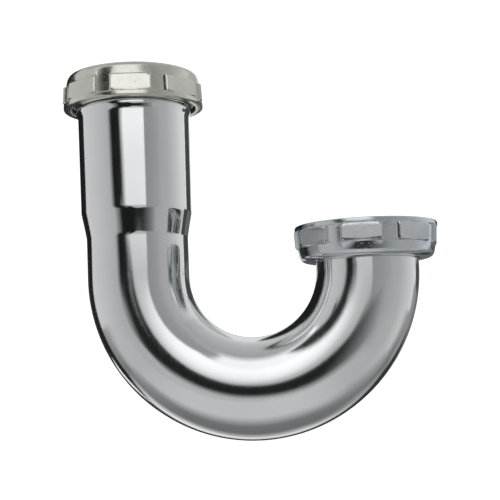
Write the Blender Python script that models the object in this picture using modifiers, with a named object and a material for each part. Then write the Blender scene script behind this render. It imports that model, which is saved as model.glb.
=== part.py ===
"""P trap J-bend for a 1-1/2 in sink drain: drawn tube, two die-cast slip nuts and their seals.

Units are metres, +Z up. The origin is the centre of the inlet mouth, on the inlet leg's axis. The tube
bends in the XZ plane, and the outlet leg stands on the +X side. Run it in Blender 4.5.
"""

import math

import bmesh
import bpy
from mathutils import Vector

MM = 0.001
INCH = 0.0254
FULL_TURN = 2 * math.pi
GAP = 0.3 * MM                        # left between pieces that touch
MERGE = 0.001 * MM

# Drawn tube, nominal 1-1/2 in tubular brass
TUBE_RADIUS = 0.75 * INCH
WALL = 0.045 * INCH                   # 17 gauge
BEND_RADIUS = 43 * MM                 # of the centreline, so the legs stand 86 mm apart
TUBE_STEPS = 36                       # facets round the tube
BEND_STEPS = 22                       # facets along the bend

# Inlet leg: a swaged bell with a rolled thread, stepping down to the plain tube
INLET_LEG = 72.4 * MM                 # mouth to the start of the bend
BELL_LENGTH = 47.8 * MM               # mouth to the top of the shoulder
SHOULDER_LENGTH = 9.4 * MM
SHOULDER_STEPS = 4
SHOULDER_SKEW = 0.15                  # the shoulder is steeper at its top; 0 would make it a plain cone
BELL_TOP_RADIUS = 21.2 * MM           # also the root of the thread
BELL_LOW_RADIUS = 20.82 * MM

# Slip-joint thread, 11-1/2 turns to the inch, right hand
PITCH = INCH / 11.5
THREAD_DEPTH = 1.6 * MM
THREAD_FLAT = 0.1                     # width of a crest and of a root, in pitches
THREAD_FADE = 0.9 * MM                # run-out at each end
THREAD_CLEARANCE = 0.4 * MM           # radial, between the tube's thread and the nut's
THREAD_TOP = -0.5 * MM
THREAD_LOW = -7.6 * MM
RIPPLE_DEPTH = 0.8 * MM               # the rolled thread's ripple inside the mouth

# Die-cast slip nut: an open threaded ring, a band of flat pads, then a shoulder ending in a holed lip
NUT_HEIGHT = 13.3 * MM
NUT_RADIUS = 26.05 * MM               # between the pads, carried on to the open end
NUT_DRAFT = 0.06                      # the sides narrow toward the lip
RING_RADIUS = 26.5 * MM               # of the band below the pads
NUT_EDGE = 0.7 * MM                   # bevel round the open end
NUT_BORE = BELL_TOP_RADIUS + THREAD_DEPTH + THREAD_CLEARANCE
NUT_ENTRY = 0.6 * MM                  # lead-in bevel of the bore
PAD_COUNT = 8
PAD_LOW = 1.9 * MM
PAD_HIGH = 8.2 * MM
PAD_RISE = 0.3 * MM                   # of the middle of a pad above the sides
PAD_HALF_ANGLE = math.radians(16.3)
NUT_SHOULDER_DRAFT = 0.21             # above the pads the sides narrow faster
NUT_SHOULDER_ROUND = 2.3 * MM
NUT_SHOULDER_FALL = 0.2 * MM          # of the shoulder's corner below the lip
NUT_SHOULDER_STEPS = 4
LIP_RADIUS = 21.2 * MM                # outer edge of the flat on top of the lip
LIP_BORE = 19.6 * MM
LIP_THICKNESS = 2.0 * MM
NUT_THREAD_LOW = 0.7 * MM
NUT_THREAD_TOP = 9.6 * MM
NUT_RIDGE = 1.3 * MM                  # height of one thread ridge's middle at angle 0

# Seals
SEAL_RADIUS = 21.2 * MM               # passes inside the nut's thread
SEAL_BORE = 19.2 * MM                 # grips the 38.1 mm tailpiece
SEAL_THICKNESS = 2.0 * MM             # of the part above the mouth
BEVEL_DEPTH = 2.6 * MM                # of the lip that enters the mouth
BEVEL_TIP_RADIUS = 19.5 * MM
RING_THICKNESS = 0.5 * MM
OUTLET_WASHER_THICKNESS = 2.5 * MM
OUTLET_WASHER_BORE = 18.3 * MM
ROUND_STEPS = 48

# Outlet leg: plain tube with its end rolled out into a flange that keeps the nut on
FLANGE_HEIGHT = 5.0 * MM              # underside of the flange above the end of the bend
FLANGE_RADIUS = 21.2 * MM
FLANGE_FILLET = 0.3 * MM

# Where the pieces stand
INLET_NUT_TURN = math.radians(8)      # rest angle of the pads
OUTLET_NUT_TURN = math.radians(-4)
OUTLET_X = 2 * BEND_RADIUS
SEAL_TOP = GAP + SEAL_THICKNESS
RING_TOP = SEAL_TOP + GAP + RING_THICKNESS
INLET_NUT_Z = RING_TOP + GAP + LIP_THICKNESS - NUT_HEIGHT
FLANGE_Z = FLANGE_HEIGHT - INLET_LEG
OUTLET_NUT_Z = FLANGE_Z - GAP - LIP_THICKNESS + NUT_HEIGHT
# One crest of the tube's thread, at angle 0: half a pitch from the nut's ridge where the nut rests
CREST_Z = INLET_NUT_Z + NUT_RIDGE + PITCH * (0.5 - INLET_NUT_TURN / FULL_TURN)


def clear_scene():
    for thing in list(bpy.data.objects):
        bpy.data.objects.remove(thing, do_unlink=True)
    for group in list(bpy.data.collections):
        bpy.data.collections.remove(group)


def finish_material(name, colour, roughness, metallic):
    material = bpy.data.materials.new(name)
    material.use_nodes = True
    shader = material.node_tree.nodes["Principled BSDF"]
    shader.inputs["Base Color"].default_value = (*colour, 1.0)
    shader.inputs["Roughness"].default_value = roughness
    shader.inputs["Metallic"].default_value = metallic
    return material


def add_piece(name, mesh, material, group, location=(0, 0, 0), rotation=(0, 0, 0)):
    piece = bpy.data.objects.new(name, mesh)
    piece.location = location
    piece.rotation_euler = rotation
    if not mesh.materials:
        mesh.materials.append(None)
    group.objects.link(piece)
    slot = piece.material_slots[0]
    slot.link = "OBJECT"
    slot.material = material
    return piece


def loft(name, columns):
    """Joins columns of points, each one closed section, into a closed skin; points that meet are merged."""
    skin = bmesh.new()
    rows = [[skin.verts.new(point) for point in column] for column in columns]
    for here, following in zip(rows, rows[1:]):
        for index in range(len(here)):
            skin.faces.new((here[index - 1], here[index], following[index], following[index - 1]))
    bmesh.ops.remove_doubles(skin, verts=skin.verts, dist=MERGE)
    bmesh.ops.recalc_face_normals(skin, faces=skin.faces)
    mesh = bpy.data.meshes.new(name)
    skin.to_mesh(mesh)
    skin.free()
    mesh.shade_smooth()
    mesh.set_sharp_from_angle(angle=math.radians(35))
    return mesh


def thread_line(angle, low, top, crest_z):
    """(z, height) points up a right-hand thread at one angle; height is 0 at the root and 1 at the crest."""
    first = math.floor((low - crest_z) / PITCH) - 1
    last = math.ceil((top - crest_z) / PITCH)
    half_flat = THREAD_FLAT / 2
    outline = ((half_flat - 0.5, 0), (-half_flat, 1), (half_flat, 1), (0.5 - half_flat, 0))
    points = [(low, 0)]
    for ridge in range(first, last + 1):
        for offset, height in outline:
            z = crest_z + PITCH * (ridge + offset + angle / FULL_TURN)
            z = min(max(z, low), top)
            fade = min(z - low, top - z, THREAD_FADE) / THREAD_FADE
            points.append((z, height * fade))
    points.append((top, 0))
    return points


def round_axis(radius, z, angle):
    return (radius * math.cos(angle), radius * math.sin(angle), z)


def round_centreline(radius, along, angle):
    """A point round the tube, at a distance along its centreline from the inlet mouth."""
    across = radius * math.cos(angle)
    side = radius * math.sin(angle)
    turn = min(max(along - INLET_LEG, 0) / BEND_RADIUS, math.pi)
    down = min(along, INLET_LEG)
    up = max(along - INLET_LEG - math.pi * BEND_RADIUS, 0)
    swing = BEND_RADIUS - across
    return (BEND_RADIUS - swing * math.cos(turn), side, up - down - swing * math.sin(turn))


def tube_wall(inset):
    """(radius, along) points of one face of the tube, from below the thread to the end of the bend."""
    wall = [(BELL_TOP_RADIUS, -THREAD_LOW)]
    for step in range(SHOULDER_STEPS + 1):
        share = step / SHOULDER_STEPS
        fall = share * (1 + SHOULDER_SKEW * (1 - share))
        radius = BELL_LOW_RADIUS + (TUBE_RADIUS - BELL_LOW_RADIUS) * fall
        wall.append((radius, BELL_LENGTH + SHOULDER_LENGTH * share))
    for step in range(BEND_STEPS + 1):
        wall.append((TUBE_RADIUS, INLET_LEG + math.pi * BEND_RADIUS * step / BEND_STEPS))
    return [(radius - inset, along) for radius, along in wall]


def tube_column(angle):
    """One closed section: down the outside, over the flange, and back up the bore to the mouth."""
    thread = thread_line(angle, THREAD_LOW, THREAD_TOP, CREST_Z)
    end_of_bend = INLET_LEG + math.pi * BEND_RADIUS
    flange = end_of_bend + FLANGE_HEIGHT
    bore = TUBE_RADIUS - WALL
    outside = [(BELL_TOP_RADIUS + THREAD_DEPTH * height, -z) for z, height in reversed(thread)]
    outside = [(BELL_TOP_RADIUS, 0)] + outside + tube_wall(0)
    rolled_end = [
        (TUBE_RADIUS, flange - FLANGE_FILLET),
        (TUBE_RADIUS + FLANGE_FILLET, flange),
        (FLANGE_RADIUS, flange),
        (FLANGE_RADIUS, flange + WALL),
        (bore, flange + WALL),
    ]
    inside = [(BELL_TOP_RADIUS - WALL + RIPPLE_DEPTH * height, -z) for z, height in reversed(thread)]
    inside = [(BELL_TOP_RADIUS - WALL, 0)] + inside + tube_wall(WALL)
    section = outside + rolled_end + list(reversed(inside))
    return [round_centreline(radius, along, angle) for radius, along in section]


def tube_mesh():
    angles = [FULL_TURN * step / TUBE_STEPS for step in range(TUBE_STEPS + 1)]
    return loft("trap_tube", [tube_column(angle) for angle in angles])


def nut_side(z):
    return NUT_RADIUS - NUT_DRAFT * z


def nut_shoulder():
    """(radius, z) points from the top of the sides, round the shoulder's corner, to the lip."""
    low = Vector((nut_side(PAD_HIGH), PAD_HIGH))
    corner_z = NUT_HEIGHT - NUT_SHOULDER_FALL
    corner = Vector((low.x - NUT_SHOULDER_DRAFT * (corner_z - PAD_HIGH), corner_z))
    lip = Vector((LIP_RADIUS, NUT_HEIGHT))
    start = corner + (low - corner).normalized() * NUT_SHOULDER_ROUND
    end = corner + (lip - corner).normalized() * NUT_SHOULDER_ROUND
    points = [low]
    for step in range(NUT_SHOULDER_STEPS + 1):
        share = step / NUT_SHOULDER_STEPS
        points.append(start.lerp(corner, share).lerp(corner.lerp(end, share), share))
    return [(point.x, point.y) for point in points] + [(LIP_RADIUS, NUT_HEIGHT)]


def nut_column(angle, pad_angle, padded):
    """One closed section: up the outside from the open end, over the shoulder, and back down the bore."""
    rise = PAD_RISE if padded else 0
    spread = math.cos(angle - pad_angle) if padded else 1
    section = [
        (RING_RADIUS - NUT_EDGE, 0),
        (RING_RADIUS, NUT_EDGE),
        (RING_RADIUS, PAD_LOW),
        ((nut_side(PAD_LOW) + rise) / spread, PAD_LOW),
        ((nut_side(PAD_HIGH) + rise) / spread, PAD_HIGH),
    ]
    section += nut_shoulder()
    section.append((LIP_BORE, NUT_HEIGHT))
    section.append((LIP_BORE, NUT_HEIGHT - LIP_THICKNESS))
    section.append((NUT_BORE, NUT_HEIGHT - LIP_THICKNESS))
    thread = thread_line(angle, NUT_THREAD_LOW, NUT_THREAD_TOP, NUT_RIDGE)
    section += [(NUT_BORE - THREAD_DEPTH * height, z) for z, height in reversed(thread)]
    section.append((NUT_BORE + NUT_ENTRY, 0))
    return [round_axis(radius, z, angle) for radius, z in section]


def nut_mesh():
    """The slip nut with its open end at z = 0 and its lip at the top; a pad faces +X."""
    spacing = FULL_TURN / PAD_COUNT
    columns = []
    for pad in range(PAD_COUNT + 1):
        pad_angle = spacing * pad
        columns.append(nut_column(pad_angle - PAD_HALF_ANGLE, pad_angle, False))
        if pad == PAD_COUNT:
            break
        for share in (-1, -0.5, 0, 0.5, 1):
            columns.append(nut_column(pad_angle + PAD_HALF_ANGLE * share, pad_angle, True))
        columns.append(nut_column(pad_angle + PAD_HALF_ANGLE, pad_angle, False))
        columns.append(nut_column(pad_angle + spacing / 2, pad_angle, False))
    return loft("slip_nut", columns)


def add_turned_piece(name, outline, material, group, location=(0, 0, 0)):
    """A turned ring; outline lists (radius, z) points and runs down its outer side first."""
    mesh = bpy.data.meshes.new(name)
    count = len(outline)
    edges = [(index, (index + 1) % count) for index in range(count)]
    mesh.from_pydata([(radius, 0, z) for radius, z in outline], edges, [])
    piece = add_piece(name, mesh, material, group, location)
    turning = piece.modifiers.new("turning", "SCREW")
    turning.axis = "Z"
    turning.steps = ROUND_STEPS
    turning.render_steps = ROUND_STEPS
    turning.use_merge_vertices = True
    turning.merge_threshold = MERGE
    return piece


def add_washers(group):
    rubber = finish_material("black_rubber", (0.02, 0.02, 0.022), 0.65, 0.0)
    brass = finish_material("brass", (0.75, 0.55, 0.25), 0.3, 1.0)
    grey_rubber = finish_material("grey_rubber", (0.05, 0.05, 0.052), 0.6, 0.0)
    bevel_outline = [
        (SEAL_RADIUS, SEAL_TOP),
        (SEAL_RADIUS, GAP),
        (BELL_TOP_RADIUS - WALL - GAP, GAP),
        (BEVEL_TIP_RADIUS, -BEVEL_DEPTH),
        (SEAL_BORE, -BEVEL_DEPTH),
        (SEAL_BORE, SEAL_TOP),
    ]
    ring_outline = [
        (SEAL_RADIUS, RING_TOP),
        (SEAL_RADIUS, SEAL_TOP + GAP),
        (LIP_BORE - GAP, SEAL_TOP + GAP),
        (LIP_BORE - GAP, RING_TOP),
    ]
    washer_low = WALL + GAP
    washer_outline = [
        (SEAL_RADIUS, washer_low + OUTLET_WASHER_THICKNESS),
        (SEAL_RADIUS, washer_low),
        (OUTLET_WASHER_BORE, washer_low),
        (OUTLET_WASHER_BORE, washer_low + OUTLET_WASHER_THICKNESS),
    ]
    add_turned_piece("inlet_slip_washer", bevel_outline, rubber, group)
    add_turned_piece("inlet_friction_ring", ring_outline, brass, group)
    add_turned_piece("outlet_washer", washer_outline, grey_rubber, group, (OUTLET_X, 0, FLANGE_Z))


def add_nuts(group):
    nut = nut_mesh()
    zinc = finish_material("satin_zinc", (0.72, 0.72, 0.66), 0.3, 1.0)
    chrome = finish_material("chromed_zinc", (0.72, 0.74, 0.75), 0.25, 1.0)
    add_piece("inlet_slip_nut", nut, zinc, group, (0, 0, INLET_NUT_Z), (0, 0, INLET_NUT_TURN))
    # The outlet nut is the same casting turned over, with its lip under the flange
    over = (math.pi, 0, OUTLET_NUT_TURN)
    add_piece("outlet_nut", nut, chrome, group, (OUTLET_X, 0, OUTLET_NUT_Z), over)


def main():
    clear_scene()
    group = bpy.data.collections.new("p_trap")
    bpy.context.scene.collection.children.link(group)
    polished = finish_material("polished_chrome", (0.78, 0.79, 0.8), 0.08, 1.0)
    add_piece("trap_tube", tube_mesh(), polished, group)
    add_nuts(group)
    add_washers(group)


main()
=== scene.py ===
"""Looks for the P trap: fine meshes, plated metal and rubber, and a small studio of reflected cards."""

import math

import bmesh
import bpy
from mathutils import Matrix, Vector


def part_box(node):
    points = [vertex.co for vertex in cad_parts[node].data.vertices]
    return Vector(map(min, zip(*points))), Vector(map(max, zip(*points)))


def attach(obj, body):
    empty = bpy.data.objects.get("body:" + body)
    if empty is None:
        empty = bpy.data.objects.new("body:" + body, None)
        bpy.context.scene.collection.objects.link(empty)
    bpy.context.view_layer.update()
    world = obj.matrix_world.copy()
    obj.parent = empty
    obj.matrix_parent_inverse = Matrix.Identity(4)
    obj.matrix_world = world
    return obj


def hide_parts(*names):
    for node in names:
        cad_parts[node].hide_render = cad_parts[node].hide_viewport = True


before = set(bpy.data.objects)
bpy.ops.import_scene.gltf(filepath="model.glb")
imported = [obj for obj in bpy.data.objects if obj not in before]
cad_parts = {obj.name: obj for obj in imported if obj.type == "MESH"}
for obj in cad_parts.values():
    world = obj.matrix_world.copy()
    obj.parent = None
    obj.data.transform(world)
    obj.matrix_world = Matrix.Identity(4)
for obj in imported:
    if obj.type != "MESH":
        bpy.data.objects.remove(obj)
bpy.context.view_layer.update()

MM = 0.001
INCH = 0.0254
FULL_TURN = 2 * math.pi
GAP = 0.3 * MM                        # left between pieces that touch
MERGE = 0.0005 * MM

# The tube, in the CAD model's sizes
TUBE_RADIUS = 0.75 * INCH
WALL = 0.045 * INCH
BEND_RADIUS = 43 * MM
BELL_TOP_RADIUS = 21.2 * MM           # also the root of the thread
BELL_LOW_RADIUS = 20.82 * MM
BELL_LENGTH = 47.8 * MM               # mouth to the top of the shoulder
SHOULDER_LENGTH = 9.4 * MM
SHOULDER_SKEW = 0.15                  # the shoulder is steeper at its top; 0 would make it a plain cone
SHOULDER_ROUNDING = 0.6 * MM
FLANGE_RADIUS = 21.2 * MM
FLANGE_FILLET = 0.3 * MM
EDGE_ROUND = 0.25 * MM                # rounding of the tube's cut edges

# A low ridge runs round the bell just below its thread and falls to a neck. The CAD model has a plain bell
# there. RIDGE_TOP, RIDGE_LOW and NECK are distances below the mouth.
RIDGE_TOP = 8.1 * MM
RIDGE_LOW = 9.0 * MM
NECK = 11.7 * MM
RIDGE_RISE = 0.66 * MM
BELL_NECK_RADIUS = 21.15 * MM

# Slip-joint thread, 11-1/2 turns to the inch, right hand
PITCH = INCH / 11.5
THREAD_DEPTH = 1.6 * MM
THREAD_FLAT = 0.1                     # width of a crest and of a root, in pitches
THREAD_FADE = 0.9 * MM                # run-out at each end
THREAD_CLEARANCE = 0.4 * MM           # radial, between the tube's thread and the nut's
THREAD_TOP = -0.5 * MM                # from the mouth
THREAD_LOW = -7.6 * MM
RIPPLE_DEPTH = 0.8 * MM               # the rolled thread's ripple inside the mouth

# Slip nut. Heights are from its open end.
NUT_RADIUS = 26.05 * MM               # between the pads, carried on to the open end
NUT_DRAFT = 0.06                      # the sides narrow toward the lip
NUT_EDGE = 0.7 * MM                   # rounding of the open end
RING_RADIUS = 26.5 * MM               # of the band below the pads
NUT_BORE = BELL_TOP_RADIUS + THREAD_DEPTH + THREAD_CLEARANCE
NUT_ENTRY = 0.6 * MM                  # lead-in bevel of the bore
NUT_ENTRY_EDGE = 0.15 * MM            # rounding of the bevel's outer edge
PAD_COUNT = 8
PAD_HALF_ANGLE = math.radians(16.3)
PAD_LOW = 1.9 * MM
PAD_HIGH = 8.2 * MM
PAD_RISE = 0.3 * MM                   # of the middle of a pad above the sides
PAD_SLOPE_ANGLE = math.radians(1.2)   # run of a pad's side wall round the nut
PAD_SLOPE = 0.3 * MM                  # run of a pad's top and bottom walls
NUT_SHOULDER_DRAFT = 0.21             # above the pads the sides narrow faster
NUT_SHOULDER_ROUND = 2.3 * MM
NUT_SHOULDER_FALL = 0.2 * MM          # of the shoulder's corner below the lip
LIP_RADIUS = 21.2 * MM                # outer edge of the flat on top of the lip
LIP_RIM = 0.6 * MM                    # width of that flat next to its outer edge, where two outlines meet
LIP_BORE = 19.6 * MM
LIP_THICKNESS = 2.0 * MM
LIP_OUTER_EDGE = 0.3 * MM             # roundings of the lip
LIP_BORE_EDGE = 0.35 * MM
LIP_UNDER_EDGE = 0.2 * MM
LIP_CORNER = 0.3 * MM
NUT_THREAD_LOW = 0.7 * MM
NUT_THREAD_TOP = 9.6 * MM
NUT_RIDGE = 1.3 * MM                  # height of one thread ridge's middle at angle 0
INLET_NUT_TURN = math.radians(8)      # rest angle of the pads
OUTLET_NUT_TURN = math.radians(-4)

# Seals. Their other sizes come from the frame.
SEAL_BORE = 19.2 * MM
SEAL_TOP_EDGE = 0.35 * MM             # roundings of the slip washer
SEAL_LOW_EDGE = 0.25 * MM
SEAL_BORE_EDGE = 0.3 * MM
BEVEL_TIP_EDGE = 0.1 * MM
BEVEL_TIP_RADIUS = 19.5 * MM          # of the slip washer's bevelled lip, inside the mouth
FRICTION_RING_BORE = 19.3 * MM
FRICTION_RING_EDGE = 0.12 * MM
OUTLET_WASHER_BORE = 18.3 * MM
OUTLET_WASHER_EDGE = 0.3 * MM

# Mesh density
SHARP_ANGLE = math.radians(50)        # edges that bend more than this stay sharp
TUBE_COLUMNS = 192
BEND_ROWS = 144
ROUND_COLUMNS = 160
CORNER_STEPS = 5
NUT_CORNER_STEPS = 6
NUT_SHOULDER_STEPS = 12
ROWS_PER_PITCH = 12

# Camera, placed from the bend's centre
LENS = 85.32                          # millimetres
CAMERA_PLACE = Vector((34.9, -441.1, -36.4)) * MM
CAMERA_YAW = math.radians(4.59)
CAMERA_PITCH = math.radians(5.83)
CAMERA_ROLL = math.radians(-2.31)

# Studio
ROOM_LIGHT = 1.12
FLOOR_SIDE = 6.0                      # metres
FLOOR_DROP = 0.3                      # metres below the bend's centre

# The room reflected in the plate, in millimetres from the bend's centre: x to the right, y away from the
# camera and z up
ROOM = 420                            # half its width, and the distance of its front wall
WINDOW_SIDE = 260                     # half the width of the window in the front wall
WINDOW_LOW = 25                       # z of the window's foot
SCREENS = -230                        # y of the screens in front of the window
BACK = 340                            # y of the back wall
WALL_LOW = -300                       # z where the walls end, below the table
TABLE = -260                          # z
FOOT = -100                           # z of the top of the side walls' feet
CEILING = 400                         # z
CARD_TINT = (0.985, 1.0, 1.0)
BLACK = 0.008                         # glow of a black card

# The opening in the screens. Both edges of its left screen lean to the left; their x is given at LEAN_FROM.
OPENING_LEFT = -76
OPENING_LEAN = 0.27                   # to the left, for each millimetre up
OPENING_SOFT = 34                     # width of the opening's soft left edge
OPENING_RIGHT = 84
FLAG_LEFT = -178
FLAG_LEAN = 0.45
FLAG_FADE = 45                        # width over which the left screen fades to grey
LEAN_FROM = 30                        # z
RIGHT_SCREEN_END = 340                # x
LEDGE_SOFT = 15                       # height of the soft edge above the ledge
LEDGE_FADE = 40                       # and of the fade below it

# Landmarks read from the frame
TUBE_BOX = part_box("trap_tube")
INLET_NUT_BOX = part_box("inlet_slip_nut")
OUTLET_NUT_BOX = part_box("outlet_nut")
NUT_HEIGHT = INLET_NUT_BOX[1].z - INLET_NUT_BOX[0].z
MOUTH_Z = TUBE_BOX[1].z
BEND_Z = TUBE_BOX[0].z + BEND_RADIUS + TUBE_RADIUS
INLET_LEG = MOUTH_Z - BEND_Z
OUTLET_X = 2 * BEND_RADIUS
FLANGE_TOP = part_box("outlet_washer")[0].z - GAP - BEND_Z      # above the end of the bend
BEND_CENTRE = Vector((BEND_RADIUS, 0, BEND_Z))
# One crest of the tube's thread, at angle 0: half a pitch from the nut's ridge where the nut rests
CREST_Z = INLET_NUT_BOX[0].z + NUT_RIDGE + PITCH * (0.5 - INLET_NUT_TURN / FULL_TURN)


# ---------------------------------------------------------------- meshes

def loft(name, columns):
    """Joins columns of points, each one closed section, into a closed skin; points that meet are merged."""
    skin = bmesh.new()
    rows = [[skin.verts.new(point) for point in column] for column in columns]
    for here, following in zip(rows, rows[1:]):
        for index in range(len(here)):
            skin.faces.new((here[index - 1], here[index], following[index], following[index - 1]))
    bmesh.ops.remove_doubles(skin, verts=skin.verts, dist=MERGE)
    bmesh.ops.recalc_face_normals(skin, faces=skin.faces)
    mesh = bpy.data.meshes.new(name)
    skin.to_mesh(mesh)
    skin.free()
    mesh.shade_smooth()
    mesh.set_sharp_from_angle(angle=SHARP_ANGLE)
    piece = bpy.data.objects.new(name, mesh)
    bpy.context.scene.collection.objects.link(piece)
    return piece


def smooth(value):
    """0 below 0, 1 above 1, and an S curve between."""
    value = min(max(value, 0), 1)
    return value * value * (3 - 2 * value)


def spread(stretches):
    """Even steps through a chain of (start, end, count) stretches, up to but not at the last end."""
    return [
        start + (end - start) * step / count
        for start, end, count in stretches
        for step in range(count)
    ]


def rounded(corners, steps=CORNER_STEPS):
    """Outline through (radius, z, rounding) corners of a closed section, each one turned by a small arc."""
    outline = []
    for index, (across, up, rounding) in enumerate(corners):
        corner = Vector((across, up))
        if rounding == 0:
            outline.append((across, up))
            continue
        before = Vector(corners[index - 1][:2])
        after = Vector(corners[(index + 1) % len(corners)][:2])
        start = corner + (before - corner).normalized() * rounding
        end = corner + (after - corner).normalized() * rounding
        for step in range(steps + 1):
            share = step / steps
            point = start.lerp(corner, share).lerp(corner.lerp(end, share), share)
            outline.append((point.x, point.y))
    return outline


def thread_line(angle, low, top, crest_z):
    """(z, height) points up a right-hand thread at one angle, with rounded crests and roots."""
    first = math.floor((low - crest_z) / PITCH) - 1
    last = math.ceil((top - crest_z) / PITCH)
    flank = 0.5 - THREAD_FLAT
    points = [(low, 0)]
    for ridge in range(first, last + 1):
        for row in range(ROWS_PER_PITCH):
            offset = (row + 0.5) / ROWS_PER_PITCH - 0.5
            height = smooth((0.5 - THREAD_FLAT / 2 - abs(offset)) / flank)
            z = crest_z + PITCH * (ridge + offset + angle / FULL_TURN)
            z = min(max(z, low), top)
            fade = min(z - low, top - z, THREAD_FADE) / THREAD_FADE
            points.append((z, height * smooth(fade)))
    points.append((top, 0))
    return points


def round_axis(radius, z, angle, centre_x=0.0):
    """A point round an upright axis."""
    return (centre_x + radius * math.cos(angle), radius * math.sin(angle), z)


def round_centreline(radius, along, angle):
    """A point round the tube, at a distance along its centreline from the inlet mouth."""
    across = radius * math.cos(angle)
    side = radius * math.sin(angle)
    turn = min(max(along - INLET_LEG, 0) / BEND_RADIUS, math.pi)
    down = min(along, INLET_LEG)
    up = max(along - INLET_LEG - math.pi * BEND_RADIUS, 0)
    swing = BEND_RADIUS - across
    return (BEND_RADIUS - swing * math.cos(turn), side, MOUTH_Z + up - down - swing * math.sin(turn))


# ---------------------------------------------------------------- the tube

def drawn_radius(along):
    """Outside radius of the inlet leg at a distance below the mouth, before its corners are rounded."""
    if along < BELL_LENGTH:
        share = (along - NECK) / (BELL_LENGTH - NECK)
        return BELL_NECK_RADIUS + (BELL_LOW_RADIUS - BELL_NECK_RADIUS) * share
    share = min((along - BELL_LENGTH) / SHOULDER_LENGTH, 1)
    share *= 1 + SHOULDER_SKEW * (1 - share)
    return BELL_LOW_RADIUS + (TUBE_RADIUS - BELL_LOW_RADIUS) * share


def bell_radius(along):
    """Outside radius of the inlet leg, its corners rounded by averaging over a short length."""
    if along < NECK:
        return BELL_NECK_RADIUS + RIDGE_RISE * smooth((NECK - along) / (NECK - RIDGE_LOW))
    steps = [step / 3 for step in range(-3, 4)]
    return sum(drawn_radius(along + SHOULDER_ROUNDING * step) for step in steps) / len(steps)


def leg_rows():
    """Distances below the mouth, closer together where the bell changes shape."""
    shoulder_start = BELL_LENGTH - 2 * MM
    shoulder_end = BELL_LENGTH + SHOULDER_LENGTH + 2 * MM
    return spread((
        (RIDGE_TOP, RIDGE_LOW, 4),
        (RIDGE_LOW, NECK, 14),
        (NECK, shoulder_start, 10),
        (shoulder_start, shoulder_end, 50),
        (shoulder_end, INLET_LEG, 4),
    ))


def tube_wall(inset):
    """(radius, along) points from the ridge to the end of the bend, this far inside the tube's skin."""
    wall = [(bell_radius(along) - inset, along) for along in leg_rows()]
    for row in range(BEND_ROWS + 1):
        wall.append((TUBE_RADIUS - inset, INLET_LEG + math.pi * BEND_RADIUS * row / BEND_ROWS))
    return wall


def tube_column(angle):
    """One closed section of the tube's wall: out over the mouth, down the outside, round the flange and
    back up the bore."""
    thread = thread_line(angle, MOUTH_Z + THREAD_LOW, MOUTH_Z + THREAD_TOP, CREST_Z)
    mouth_bore = BELL_TOP_RADIUS - WALL
    flange_top = INLET_LEG + math.pi * BEND_RADIUS + FLANGE_TOP
    flange = flange_top - WALL
    bore = TUBE_RADIUS - WALL
    outside = [(BELL_TOP_RADIUS + THREAD_DEPTH * height, MOUTH_Z - z) for z, height in reversed(thread)]
    inside = [(mouth_bore + RIPPLE_DEPTH * height, MOUTH_Z - z) for z, height in reversed(thread)]
    section = rounded([
        (mouth_bore, -THREAD_TOP, 0),
        (mouth_bore, 0, EDGE_ROUND),
        (BELL_TOP_RADIUS, 0, EDGE_ROUND),
        (BELL_TOP_RADIUS, -THREAD_TOP, 0),
    ])
    section += outside + tube_wall(0)
    section += rounded([
        (TUBE_RADIUS, flange - 3 * FLANGE_FILLET, 0),
        (TUBE_RADIUS, flange, 2 * FLANGE_FILLET),
        (FLANGE_RADIUS, flange, FLANGE_FILLET),
        (FLANGE_RADIUS, flange_top, FLANGE_FILLET),
        (bore, flange_top, 3 * FLANGE_FILLET),
        (bore, flange_top - 4 * FLANGE_FILLET, 0),
    ])
    section += list(reversed(inside + tube_wall(WALL)))
    return [round_centreline(radius, along, angle) for radius, along in section]


def make_tube():
    angles = [FULL_TURN * step / TUBE_COLUMNS for step in range(TUBE_COLUMNS + 1)]
    return loft("drawn_tube", [tube_column(angle) for angle in angles])


# ---------------------------------------------------------------- the nuts

def pad_angles():
    """Angles round the nut, close together across each pad's side walls."""
    spacing = FULL_TURN / PAD_COUNT
    inner = PAD_HALF_ANGLE - PAD_SLOPE_ANGLE
    outer = PAD_HALF_ANGLE + PAD_SLOPE_ANGLE
    one_pad = spread((
        (-outer, -inner, 8),
        (-inner, inner, 12),
        (inner, outer, 8),
        (outer, spacing - outer, 7),
    ))
    angles = [pad * spacing + angle for pad in range(PAD_COUNT) for angle in one_pad]
    return angles + [angles[0] + FULL_TURN]


def nut_side(z):
    """Radius between the pads."""
    return NUT_RADIUS - NUT_DRAFT * z


def pad_rise(radius, z, angle):
    """Radius of the nut's outside with the pads: body radius off the pads, flat faces on them."""
    spacing = FULL_TURN / PAD_COUNT
    off_centre = (angle + spacing / 2) % spacing - spacing / 2
    side = min(max(0.5 + (PAD_HALF_ANGLE - abs(off_centre)) / (2 * PAD_SLOPE_ANGLE), 0), 1)
    below = smooth(0.5 + (z - PAD_LOW) / (2 * PAD_SLOPE))
    above = smooth(0.5 + (PAD_HIGH - z) / (2 * PAD_SLOPE))
    flat = (nut_side(z) + PAD_RISE) / math.cos(off_centre)
    return radius + (flat - radius) * side * below * above


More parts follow.
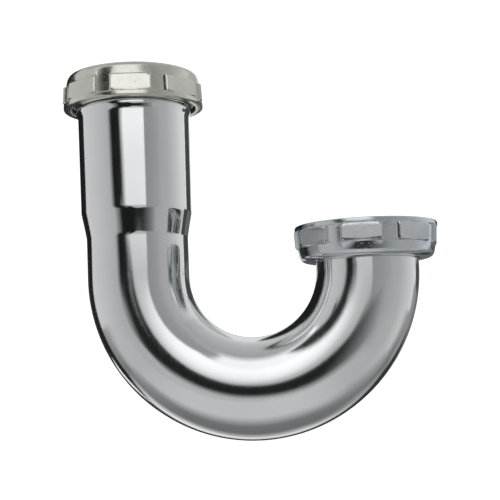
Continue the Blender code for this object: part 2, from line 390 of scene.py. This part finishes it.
def nut_outside():
    """(radius, z) points up the nut's outside, before the pads."""
    shoulder = PAD_HIGH + PAD_SLOPE
    heights = spread((
        (NUT_EDGE, PAD_LOW - PAD_SLOPE, 3),
        (PAD_LOW - PAD_SLOPE, PAD_LOW + PAD_SLOPE, 8),
        (PAD_LOW + PAD_SLOPE, PAD_HIGH - PAD_SLOPE, 6),
        (PAD_HIGH - PAD_SLOPE, shoulder, 8),
    )) + [shoulder]
    points = []
    for z in heights:
        band = 1 - smooth(0.5 + (z - PAD_LOW) / (2 * PAD_SLOPE))
        points.append((nut_side(z) + (RING_RADIUS - nut_side(z)) * band, z))
    corner_z = NUT_HEIGHT - NUT_SHOULDER_FALL
    corner_radius = nut_side(shoulder) - NUT_SHOULDER_DRAFT * (corner_z - shoulder)
    return points + rounded([
        (nut_side(shoulder), shoulder, 0),
        (corner_radius, corner_z, NUT_SHOULDER_ROUND),
        (LIP_RADIUS, NUT_HEIGHT, LIP_OUTER_EDGE),
        (LIP_RADIUS - LIP_RIM, NUT_HEIGHT, 0),
    ], NUT_SHOULDER_STEPS)[1:]


def nut_column(angle):
    """One closed section of the nut: over its open end, up the outside, over the lip, down the thread."""
    lip_low = NUT_HEIGHT - LIP_THICKNESS
    thread = thread_line(angle, NUT_THREAD_LOW, NUT_THREAD_TOP, NUT_RIDGE)
    open_end = rounded([
        (NUT_BORE, NUT_THREAD_LOW, 0),
        (NUT_BORE + NUT_ENTRY, 0, NUT_ENTRY_EDGE),
        (RING_RADIUS, 0, NUT_EDGE),
        (RING_RADIUS, NUT_EDGE, 0),
    ], NUT_CORNER_STEPS)[1:]
    outside = [(pad_rise(radius, z, angle), z) for radius, z in nut_outside()]
    lip = rounded([
        (LIP_RADIUS - LIP_RIM, NUT_HEIGHT, 0),
        (LIP_BORE, NUT_HEIGHT, LIP_BORE_EDGE),
        (LIP_BORE, lip_low, LIP_UNDER_EDGE),
        (NUT_BORE, lip_low, LIP_CORNER),
        (NUT_BORE, NUT_THREAD_TOP, 0),
    ])
    section = open_end + outside + lip[1:]
    section += [(NUT_BORE - THREAD_DEPTH * height, z) for z, height in reversed(thread)]
    return [round_axis(radius, z, angle) for radius, z in section]


def make_nut(name, turn, place):
    """A nut standing at a place, its pads turned; the bore attribute is 1 inside its threaded hole, which
    the plate material paints dark grey as painted shade.
    """
    nut = loft(name, [nut_column(angle) for angle in pad_angles()])
    # bore marks the threaded hole for painted shade: dark grey for the gap between nut and tube, partly
    # also its dull unplated zinc
    bore = nut.data.attributes.new("bore", "FLOAT", "POINT")
    lip_middle = NUT_HEIGHT - LIP_THICKNESS / 2
    for point, vertex in zip(bore.data, nut.data.vertices):
        inside = vertex.co.xy.length < NUT_BORE + NUT_ENTRY / 2 and vertex.co.z < lip_middle
        point.value = 1 if inside else 0
    nut.data.transform(place @ Matrix.Rotation(turn, 4, "Z"))
    return nut


def make_inlet_nut():
    place = Matrix.Translation((0, 0, INLET_NUT_BOX[0].z))
    return make_nut("inlet_nut_casting", INLET_NUT_TURN, place)


def make_outlet_nut():
    """The same casting turned over, so its lip is below and its open end above."""
    place = Matrix.Translation((OUTLET_X, 0, OUTLET_NUT_BOX[1].z)) @ Matrix.Rotation(math.pi, 4, "X")
    return make_nut("outlet_nut_casting", -OUTLET_NUT_TURN, place)


# ---------------------------------------------------------------- seals

def make_ring(name, corners, centre_x=0.0):
    """A turned ring through (radius, z, rounding) corners."""
    outline = rounded(corners)
    angles = [FULL_TURN * step / ROUND_COLUMNS for step in range(ROUND_COLUMNS + 1)]
    columns = [[round_axis(radius, z, angle, centre_x) for radius, z in outline] for angle in angles]
    return loft(name, columns)


def make_slip_washer():
    """The slip washer lies on the mouth, and its bevelled lip hangs into it."""
    low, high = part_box("inlet_slip_washer")
    bevel_top = MOUTH_Z + GAP
    return make_ring("slip_washer_rubber", [
        (high.x, high.z, SEAL_TOP_EDGE),
        (high.x, bevel_top, SEAL_LOW_EDGE),
        (BELL_TOP_RADIUS - WALL - GAP, bevel_top, 0),
        (BEVEL_TIP_RADIUS, low.z, BEVEL_TIP_EDGE),
        (SEAL_BORE, low.z, BEVEL_TIP_EDGE),
        (SEAL_BORE, high.z, SEAL_BORE_EDGE),
    ])


def make_flat_ring(name, node, bore, rounding, centre_x=0.0):
    low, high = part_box(node)
    outer = high.x - centre_x
    return make_ring(name, [
        (outer, high.z, rounding),
        (outer, low.z, rounding),
        (bore, low.z, rounding),
        (bore, high.z, rounding),
    ], centre_x)


# ---------------------------------------------------------------- materials

class Nodes:
    """A short way to write a material's nodes."""

    def __init__(self, name):
        self.material = bpy.data.materials.new(name)
        self.material.use_nodes = True
        self.tree = self.material.node_tree
        self.shader = self.tree.nodes["Principled BSDF"]

    def add(self, kind, **settings):
        node = self.tree.nodes.new("ShaderNode" + kind)
        for key, value in settings.items():
            setattr(node, key, value)
        return node

    def link(self, source, target):
        self.tree.links.new(source, target)

    def noise(self, scale, detail=2.0, roughness=0.5, stretch=(1, 1, 1)):
        """Noise in the object's own metres, so it stays put on the piece."""
        place = self.add("TexCoord")
        mapping = self.add("Mapping")
        mapping.inputs["Scale"].default_value = stretch
        self.link(place.outputs["Object"], mapping.inputs["Vector"])
        noise = self.add("TexNoise")
        noise.inputs["Scale"].default_value = scale
        noise.inputs["Detail"].default_value = detail
        noise.inputs["Roughness"].default_value = roughness
        self.link(mapping.outputs["Vector"], noise.inputs["Vector"])
        return noise.outputs["Fac"]

    def ramp(self, source, low, high, low_value, high_value):
        """Maps low..high of a value to low_value..high_value, held flat outside."""
        node = self.add("MapRange")
        limits = {"From Min": low, "From Max": high, "To Min": low_value, "To Max": high_value}
        for key, value in limits.items():
            node.inputs[key].default_value = value
        self.link(source, node.inputs["Value"])
        return node.outputs["Result"]

    def sum(self, first, second):
        node = self.add("Math", operation="ADD")
        self.link(first, node.inputs[0])
        self.link(second, node.inputs[1])
        return node.outputs[0]

    def mix_colour(self, share, first, second):
        node = self.add("Mix", data_type="RGBA")
        self.link(share, node.inputs["Factor"])
        node.inputs["A"].default_value = (*first, 1)
        node.inputs["B"].default_value = (*second, 1)
        return node.outputs["Result"]

    def bump(self, height, distance, strength=1.0, under=None):
        """A bump of this height in metres, on top of another bump's normal."""
        node = self.add("Bump")
        node.inputs["Strength"].default_value = strength
        node.inputs["Distance"].default_value = distance
        self.link(height, node.inputs["Height"])
        if under:
            self.link(under, node.inputs["Normal"])
        return node.outputs["Normal"]


def polished_chrome():
    """Bright plate: nearly a mirror on the legs, a little softer where the bend stretched the brass."""
    m = Nodes("polished_chrome_plate")
    place = m.add("TexCoord")
    split = m.add("SeparateXYZ")
    m.link(place.outputs["Object"], split.inputs[0])
    bent = m.ramp(split.outputs["Z"], BEND_Z - 12 * MM, BEND_Z + 6 * MM, 0.115, 0.08)
    hairlines = m.ramp(m.noise(900, 3, 0.6, (1, 1, 0.05)), 0.35, 0.75, 0.0, 0.035)
    m.link(m.sum(bent, hairlines), m.shader.inputs["Roughness"])
    tone = m.ramp(m.noise(35, 3), 0.3, 0.7, 0.0, 1.0)
    m.link(m.mix_colour(tone, (0.80, 0.81, 0.82), (0.86, 0.865, 0.87)), m.shader.inputs["Base Color"])
    wave = m.bump(m.noise(28, 1), 0.25 * MM)
    peel = m.bump(m.noise(1400, 2), 0.0035 * MM, under=wave)
    m.link(peel, m.shader.inputs["Normal"])
    m.shader.inputs["Metallic"].default_value = 1
    return m.material


def cast_plate(name, light, dark, roughness, pitting):
    """Plated zinc casting: soft tone changes, a faint skin texture, scattered pits, and a bore painted dark
    grey: partly dull unplated zinc, partly painted shade in the gap.
    """
    m = Nodes(name)
    tone = m.ramp(m.noise(90, 4, 0.6), 0.3, 0.7, 0.0, 1.0)
    # Painted shade: the bore attribute mixes dark grey into the threaded hole so the gap under the nut
    # reads dark; the dull unplated zinc there is only part of it
    bore = m.add("Attribute", attribute_name="bore")
    shade = m.add("Mix", data_type="RGBA")
    m.link(bore.outputs["Fac"], shade.inputs["Factor"])
    m.link(m.mix_colour(tone, light, dark), shade.inputs["A"])
    shade.inputs["B"].default_value = (0.10, 0.10, 0.10, 1)
    m.link(shade.outputs["Result"], m.shader.inputs["Base Color"])
    polish = m.ramp(m.noise(240, 3), 0.3, 0.7, roughness - 0.04, roughness + 0.05)
    m.link(polish, m.shader.inputs["Roughness"])
    skin = m.bump(m.noise(900, 3, 0.5), 0.006 * MM)
    pits = m.ramp(m.noise(1500, 1), pitting, pitting + 0.06, 0.0, 1.0)
    m.link(m.bump(pits, 0.12 * MM, strength=0.8, under=skin), m.shader.inputs["Normal"])
    m.shader.inputs["Metallic"].default_value = 1
    return m.material


def stamped_brass():
    m = Nodes("stamped_brass")
    tone = m.ramp(m.noise(160, 4, 0.6), 0.3, 0.7, 0.0, 1.0)
    m.link(m.mix_colour(tone, (0.82, 0.62, 0.30), (0.62, 0.43, 0.19)), m.shader.inputs["Base Color"])
    m.link(m.ramp(m.noise(700, 3), 0.3, 0.7, 0.25, 0.42), m.shader.inputs["Roughness"])
    m.link(m.bump(m.noise(1600, 3), 0.01 * MM), m.shader.inputs["Normal"])
    m.shader.inputs["Metallic"].default_value = 1
    return m.material


def rubber(name, light, dark):
    m = Nodes(name)
    bloom = m.ramp(m.noise(130, 4, 0.65), 0.35, 0.75, 0.0, 1.0)
    m.link(m.mix_colour(bloom, dark, light), m.shader.inputs["Base Color"])
    m.link(m.ramp(m.noise(500, 3), 0.3, 0.7, 0.5, 0.75), m.shader.inputs["Roughness"])
    m.link(m.bump(m.noise(2200, 4, 0.6), 0.02 * MM), m.shader.inputs["Normal"])
    return m.material


# ---------------------------------------------------------------- studio

def glow_material():
    """Emission in the colours of a mesh's glow attribute."""
    material = bpy.data.materials.new("card_glow")
    material.use_nodes = True
    tree = material.node_tree
    tree.nodes.clear()
    glow = tree.nodes.new("ShaderNodeAttribute")
    glow.attribute_name = "glow"
    light = tree.nodes.new("ShaderNodeEmission")
    out = tree.nodes.new("ShaderNodeOutputMaterial")
    tree.links.new(glow.outputs["Color"], light.inputs["Color"])
    tree.links.new(light.outputs["Emission"], out.inputs["Surface"])
    return material


CARD_GLOW = glow_material()


def card(name, corners, glows):
    """A flat card that only glossy surfaces see. Its four corners are millimetres from the bend's centre,
    and its glow runs evenly between the values at the corners."""
    mesh = bpy.data.meshes.new(name)
    mesh.from_pydata([BEND_CENTRE + Vector(corner) * MM for corner in corners], [], [(0, 1, 2, 3)])
    colours = mesh.color_attributes.new("glow", "FLOAT_COLOR", "POINT")
    for point, glow in zip(colours.data, glows):
        point.color = (*(glow * tint for tint in CARD_TINT), 1)
    sheet = bpy.data.objects.new(name, mesh)
    bpy.context.scene.collection.objects.link(sheet)
    mesh.materials.append(CARD_GLOW)
    sheet.visible_camera = False
    sheet.visible_diffuse = False
    sheet.visible_shadow = False
    sheet.visible_transmission = False


def wall(name, start, end, low, high, glow, end_glow=None):
    """An upright card from one (x, y) to another, as seen from above."""
    end_glow = end_glow or glow
    corners = [(*start, low), (*end, low), (*end, high), (*start, high)]
    card(name, corners, [glow, end_glow, end_glow, glow])


def wall_foot(name, x, steps):
    """The foot of a side wall; steps lists (y, glow at the table, glow at its top) from front to back."""
    for (start, start_low, start_high), (end, end_low, end_high) in zip(steps, steps[1:]):
        corners = [(x, start, TABLE), (x, end, TABLE), (x, end, FOOT), (x, start, FOOT)]
        card(name, corners, [start_low, end_low, end_high, start_high])


def level(name, z, sides, ends, glows):
    """A level card between two values of x and two of y. Its glows are front left, front right, back right
    and back left."""
    (left, right), (front, back) = sides, ends
    card(name, [(left, front, z), (right, front, z), (right, back, z), (left, back, z)], glows)


def screen(name, left, right, low, high, glows):
    """A card in the plane of the screens between two heights. Its left and right are each given as x at the
    low height and x at the high height."""
    (low_left, high_left), (low_right, high_right) = left, right
    corners = [(low_left, low), (low_right, low), (high_right, high), (high_left, high)]
    card(name, [(x, SCREENS, z) for x, z in corners], glows)


def ledge_part(name, start, end, lows, highs, glows):
    """A card in the plane of the screens between two values of x, whose lower and upper edges slope."""
    corners = [(start, lows[0]), (end, lows[1]), (end, highs[1]), (start, highs[0])]
    card(name, [(x, SCREENS, z) for x, z in corners], glows)


def leaning(x, lean, heights):
    """x at each height of an edge that leans to the left."""
    return [x - lean * (z - LEAN_FROM) for z in heights]


def shifted(values, shift):
    """The same values, each moved by the shift."""
    return [value + shift for value in values]


def make_window():
    """A window, brightest a little below its top."""
    sky = ((WINDOW_LOW, 0.52), (52, 0.68), (80, 0.86), (147, 1.08), (280, 1.22), (CEILING, 1.1))
    for (low, low_glow), (high, high_glow) in zip(sky, sky[1:]):
        corners = [(-WINDOW_SIDE, low), (WINDOW_SIDE, low), (WINDOW_SIDE, high), (-WINDOW_SIDE, high)]
        card("window", [(x, -ROOM, z) for x, z in corners], [low_glow, low_glow, high_glow, high_glow])


def make_screens():
    """Black and grey screens in front of the window, beside an opening that leans to the left."""
    steps = ((-10, 0.6), (80, 0.85), (140, 1.05), (CEILING, 1.1))
    for (low, low_glow), (high, high_glow) in zip(steps, steps[1:]):
        opening = leaning(OPENING_LEFT, OPENING_LEAN, (low, high))
        flag = leaning(FLAG_LEFT, FLAG_LEAN, (low, high))
        soft = shifted(opening, -OPENING_SOFT)
        fade = shifted(flag, -FLAG_FADE)
        right = [OPENING_RIGHT, OPENING_RIGHT]
        end = [RIGHT_SCREEN_END, RIGHT_SCREEN_END]
        screen("opening_edge", soft, opening, low, high, [BLACK, low_glow, high_glow, BLACK])
        screen("flag_left", flag, soft, low, high, [BLACK] * 4)
        screen("flag_left_edge", fade, flag, low, high, [0.42, BLACK, BLACK, 0.42])
        screen("screen_right", right, end, low, high, [0.3, 0.4, 0.4, 0.3])
    screen("flag_left_high", (-330, -330), (-225, -250), 143, 190, [BLACK] * 4)


def make_ledge():
    """A black ledge below the opening. It slopes down to the right, then lies level and fades to grey."""
    points = (                        # x, top, low
        (-130, 45, -62),
        (-76, 24, -74),
        (-34, -2, -88),
        (-17, -26, -91),
        (0, -30, -96),
        (45, -30, -104),
    )
    for (start, *start_edges), (end, *end_edges) in zip(points, points[1:]):
        tops, lows = zip(start_edges, end_edges)
        above = shifted(tops, LEDGE_SOFT)
        below = shifted(lows, -LEDGE_FADE)
        ledge_part("ledge_top", start, end, tops, above, [BLACK, BLACK, 0.55, 0.55])
        ledge_part("ledge", start, end, lows, tops, [BLACK] * 4)
        ledge_part("ledge_fade", start, end, below, lows, [0.5, 0.5, BLACK, BLACK])
    ledge_part("ledge_left", -205, -130, (-50, -75), (-10, 20), [0.45, BLACK, BLACK, 0.35])
    shade = ((45, BLACK), (85, 0.08), (134, 0.18), (210, 0.34))
    for (start, glow), (end, end_glow) in zip(shade, shade[1:]):
        for low, high, glows in (
            (-150, -104, [0.45, 0.45, end_glow, glow]),
            (-104, -30, [glow, end_glow, end_glow, glow]),
            (-30, -10, [glow, end_glow, 0.35, 0.4]),
        ):
            ledge_part("ledge_right", start, end, (low, low), (high, high), glows)


def make_front_and_sides():
    """Grey walls beside and below the window, and side walls that are darker near the table."""
    wall("front_left", (-ROOM, -ROOM), (-WINDOW_SIDE, -ROOM), WALL_LOW, CEILING, 0.48)
    wall("front_below", (-WINDOW_SIDE, -ROOM), (WINDOW_SIDE, -ROOM), WALL_LOW, WINDOW_LOW, 0.52)
    wall("front_right", (WINDOW_SIDE, -ROOM), (ROOM, -ROOM), WALL_LOW, CEILING, 0.34, 0.37)
    wall("left_wall", (-ROOM, -ROOM), (-ROOM, 0), FOOT, CEILING, 0.47, 0.62)
    wall("left_wall_far", (-ROOM, 0), (-ROOM, 242), FOOT, CEILING, 0.62, 0.70)
    wall("right_wall", (ROOM, -ROOM), (ROOM, -100), FOOT, CEILING, 0.38, 0.46)
    wall("right_wall_far", (ROOM, -100), (ROOM, 250), FOOT, CEILING, 0.46, 0.74)
    wall_foot("left_wall_low", -ROOM, (
        (-ROOM, 0.52, 0.47),
        (-60, 0.52, 0.55),
        (40, 0.2, 0.4),
        (100, 0.2, 0.35),
        (242, 0.4, 0.3),
    ))
    wall_foot("right_wall_low", ROOM, (
        (-ROOM, 0.42, 0.38),
        (-100, 0.46, 0.46),
        (60, 0.58, 0.62),
        (130, 0.3, 0.5),
        (250, 0.15, 0.3),
    ))


def make_back():
    """The wall behind, mostly dark, which gives the plate its dark rims. Its two corners are cut off."""
    left_corner, left_turn = (-ROOM, 180), (-280, 242)
    right_corner, right_side, right_turn = (ROOM, 250), (378, 292), (330, BACK)
    left_end, right_start = (-60, BACK), (60, BACK)
    wall("right_corner", right_corner, right_turn, 40, CEILING, 0.74)
    wall("right_corner_side", right_corner, right_side, -20, 40, 0.74)
    wall("right_corner_edge", right_side, right_turn, -20, 40, 0.06)
    wall("right_corner_low", right_corner, right_turn, WALL_LOW, -20, 0.3)
    wall("back_left_edge", left_corner, left_turn, WALL_LOW, 330, 0.012)
    wall("back_left", left_turn, left_end, 40, 330, 0.012)
    wall("back_left_low", left_turn, (-120, 313), -110, 40, 0.03)
    wall("back_left_glow", (-120, 313), left_end, -110, 40, 0.85)
    wall("back_left_high", left_corner, left_end, 330, CEILING, 0.5)
    wall("back_middle", left_end, right_start, 60, CEILING, 0.8)
    wall("back_middle_low", left_end, right_start, -110, 60, 0.1)
    wall("back_right", right_start, (300, BACK), 40, 160, 0.06)
    wall("back_right_edge", (240, BACK), right_turn, -20, 40, 0.06)
    wall("back_right_low", right_start, (240, BACK), -110, 40, 0.15)
    wall("back_right_lowest", (240, BACK), right_turn, -110, -20, 0.2)
    wall("back_right_high", right_start, right_turn, 160, CEILING, 0.5)
    wall("back_lowest", (-280, BACK), right_turn, WALL_LOW, -110, 0.03)


def make_ceiling():
    """Bright above the window and grey elsewhere, a little lighter at the back."""
    full = (-ROOM, ROOM)
    above_window = (-350, 100)
    level("ceiling_front", CEILING, above_window, (-ROOM, -250), [1.1] * 4)
    level("ceiling_fade", CEILING, above_window, (-250, -130), [1.1, 1.1, 0.42, 0.42])
    level("ceiling_right", CEILING, (100, ROOM), (-ROOM, -130), [0.42] * 4)
    level("ceiling_middle", CEILING, full, (-130, 150), [0.4, 0.4, 0.53, 0.53])
    level("ceiling_back", CEILING, full, (150, BACK), [0.53, 0.53, 0.72, 0.72])


def make_table():
    """Grey below the trap and bright behind it, less so to the right."""
    across = (-ROOM, -150, 60, 210, ROOM)
    rows = (                          # y, then the glow at each x
        (-ROOM, (0.52, 0.60, 0.60, 0.50, 0.42)),
        (-110, (0.52, 0.60, 0.60, 0.48, 0.46)),
        (-10, (0.35, 0.19, 0.19, 0.32, 0.55)),
        (90, (0.20, 0.17, 0.17, 0.20, 0.40)),
        (260, (0.40, 1.15, 0.95, 0.45, 0.15)),
        (345, (0.08, 0.08, 0.08, 0.08, 0.08)),
    )
    for (front, front_glows), (back, back_glows) in zip(rows, rows[1:]):
        for index, sides in enumerate(zip(across, across[1:])):
            near, far = front_glows[index:index + 2], back_glows[index:index + 2]
            level("table", TABLE, sides, (front, back), [near[0], near[1], far[1], far[0]])


def make_floor():
    """A plain pale floor well below the trap, which hangs from its inlet."""
    bpy.ops.mesh.primitive_plane_add(size=FLOOR_SIDE, location=BEND_CENTRE - Vector((0, 0, FLOOR_DROP)))
    floor = bpy.context.object
    floor.name = "pale_floor"
    m = Nodes("pale_floor")
    m.shader.inputs["Base Color"].default_value = (0.97, 0.97, 0.97, 1)
    m.shader.inputs["Roughness"].default_value = 0.9
    floor.data.materials.append(m.material)


def make_world():
    world = bpy.data.worlds.new("soft_white_room")
    world.use_nodes = True
    background = world.node_tree.nodes["Background"]
    background.inputs["Color"].default_value = (1, 1, 1, 1)
    background.inputs["Strength"].default_value = ROOM_LIGHT
    bpy.context.scene.world = world
    bpy.context.scene.view_settings.view_transform = "Standard"


def make_camera():
    data = bpy.data.cameras.new("camera")
    data.lens = LENS
    camera = bpy.data.objects.new("camera", data)
    bpy.context.scene.collection.objects.link(camera)
    aim = Matrix.Rotation(CAMERA_YAW, 4, "Z") @ Matrix.Rotation(math.pi / 2 + CAMERA_PITCH, 4, "X")
    place = Matrix.Translation(BEND_CENTRE + CAMERA_PLACE)
    camera.matrix_world = place @ aim @ Matrix.Rotation(CAMERA_ROLL, 4, "Z")
    bpy.context.scene.camera = camera


# ---------------------------------------------------------------- putting it together

def dress(piece, body, node, material):
    """Gives a piece its material and the body it rides on, and hides the CAD node it stands for."""
    piece.data.materials.append(material)
    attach(piece, body)
    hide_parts(node)


def main():
    make_camera()
    make_world()
    make_floor()
    make_window()
    make_screens()
    make_ledge()
    make_front_and_sides()
    make_back()
    make_ceiling()
    make_table()
    ivory = cast_plate("satin_zinc_plate", (0.79, 0.77, 0.71), (0.64, 0.65, 0.59), 0.2, 0.2)
    cool = cast_plate("chromed_zinc_plate", (0.74, 0.77, 0.79), (0.60, 0.64, 0.67), 0.17, 0.27)
    black = rubber("black_rubber_skin", (0.035, 0.035, 0.037), (0.012, 0.012, 0.013))
    grey = rubber("grey_rubber_skin", (0.07, 0.07, 0.073), (0.03, 0.03, 0.032))
    friction_ring = make_flat_ring(
        "friction_ring_brass", "inlet_friction_ring", FRICTION_RING_BORE, FRICTION_RING_EDGE)
    outlet_washer = make_flat_ring(
        "outlet_washer_rubber", "outlet_washer", OUTLET_WASHER_BORE, OUTLET_WASHER_EDGE, OUTLET_X)
    dress(make_tube(), "trap", "trap_tube", polished_chrome())
    dress(make_inlet_nut(), "inlet_nut", "inlet_slip_nut", ivory)
    dress(make_outlet_nut(), "outlet_nut", "outlet_nut", cool)
    dress(make_slip_washer(), "inlet_seal", "inlet_slip_washer", black)
    dress(friction_ring, "inlet_seal", "inlet_friction_ring", stamped_brass())
    dress(outlet_washer, "trap", "outlet_washer", grey)


main()
